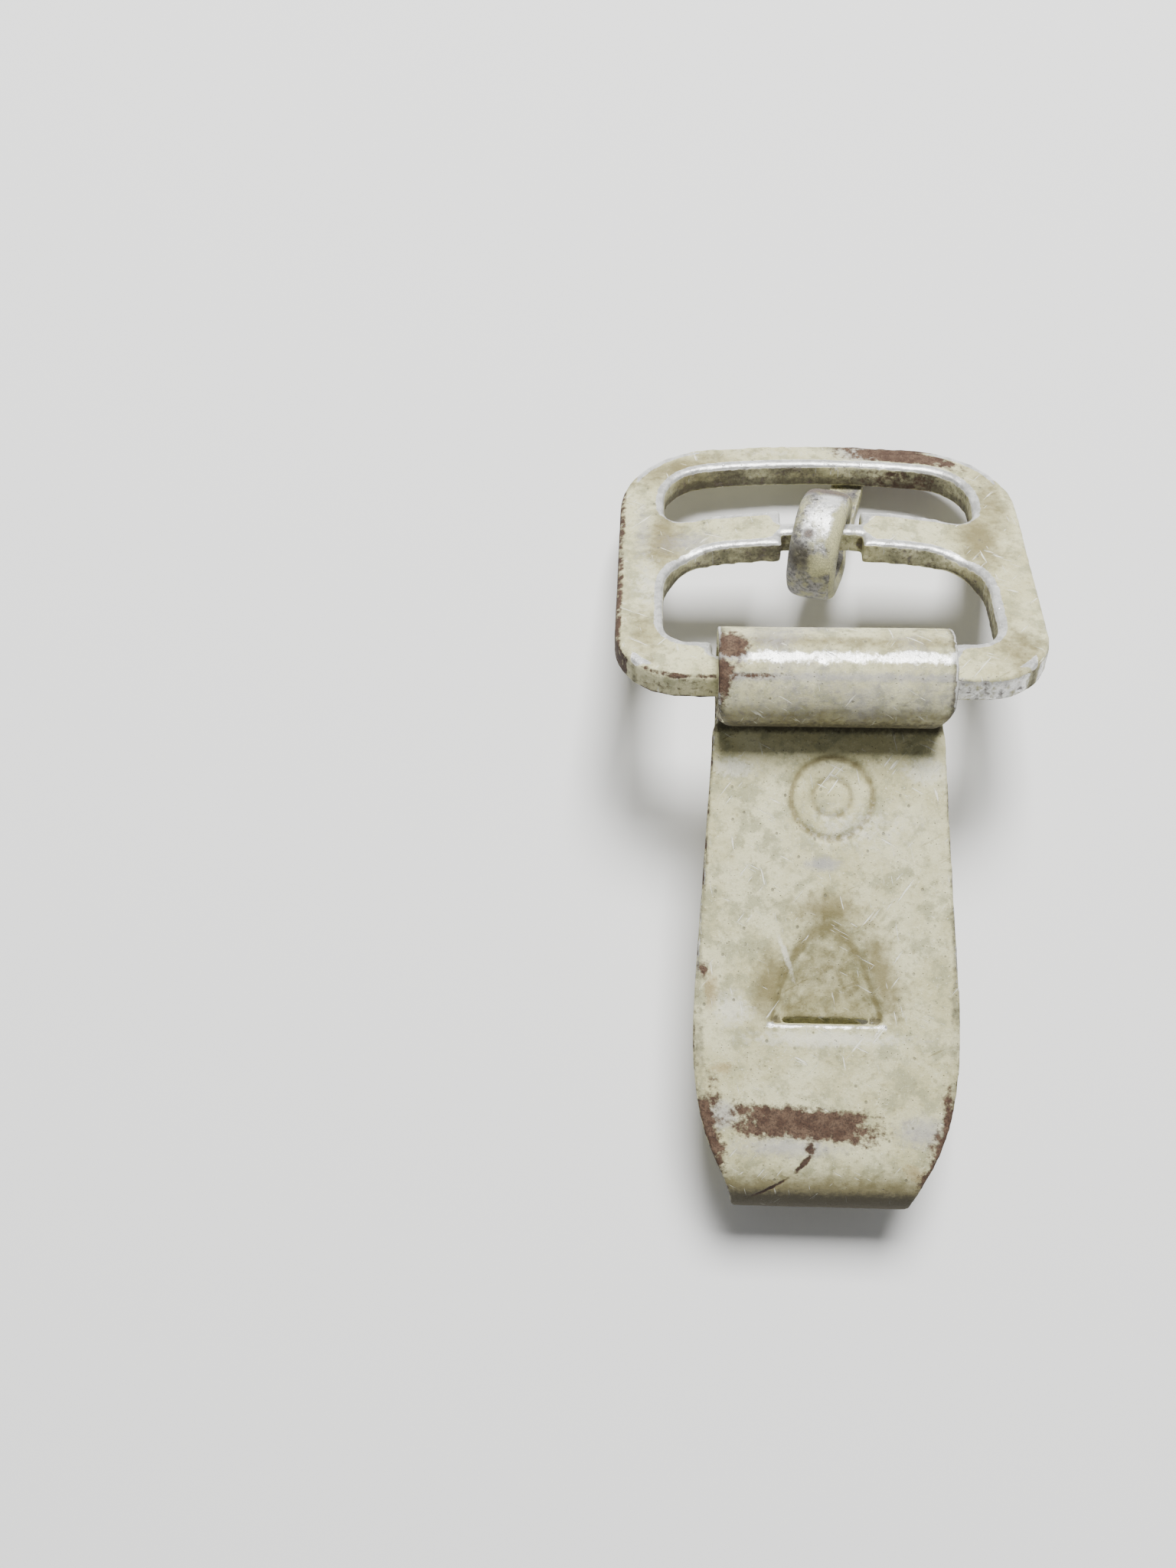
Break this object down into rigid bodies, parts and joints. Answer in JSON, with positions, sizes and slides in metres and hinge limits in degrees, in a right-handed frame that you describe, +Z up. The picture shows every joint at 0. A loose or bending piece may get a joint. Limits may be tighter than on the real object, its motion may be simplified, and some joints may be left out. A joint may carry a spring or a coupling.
{
  "type": "hinged hook strap buckle",
  "caption": "Strap buckle with a windowed frame, a loose tongue on its arched middle bar and a hinged hook plate that catches a ring or loop.",
  "frame": {"origin": "centre of the footprint, on the surface that the buckle stands on", "axes": "+X to the right along the hinge, +Y from the hook's bend to the frame's far bar, +Z up"},
  "size_m": [0.034, 0.0664, 0.0226],
  "materials": {
    "frame_paint": "worn matt pale grey-green paint, bare at the rims",
    "hook_paint": "worn matt pale grey-green paint with rust",
    "tongue_steel": "dull bare steel with traces of paint"
  },
  "bodies": {
    "frame": {"buckle_frame": "frame_paint"},
    "hook": {"hook_plate": "hook_paint"},
    "tongue": {"tongue": "tongue_steel"}
  },
  "joints": [
    {"name": "hook_pivot", "type": "hinge", "parent": "frame", "child": "hook", "pos_m": [0, 0.00736, 0.01871], "axis": [1, 0, 0], "range_deg": [-210, 49]},
    {"name": "tongue_pivot", "type": "hinge", "parent": "frame", "child": "tongue", "pos_m": [0, 0.02127, 0.01019], "axis": [0.9613, -0.2304, 0.1514], "range_deg": [-130, 0]}
  ]
}
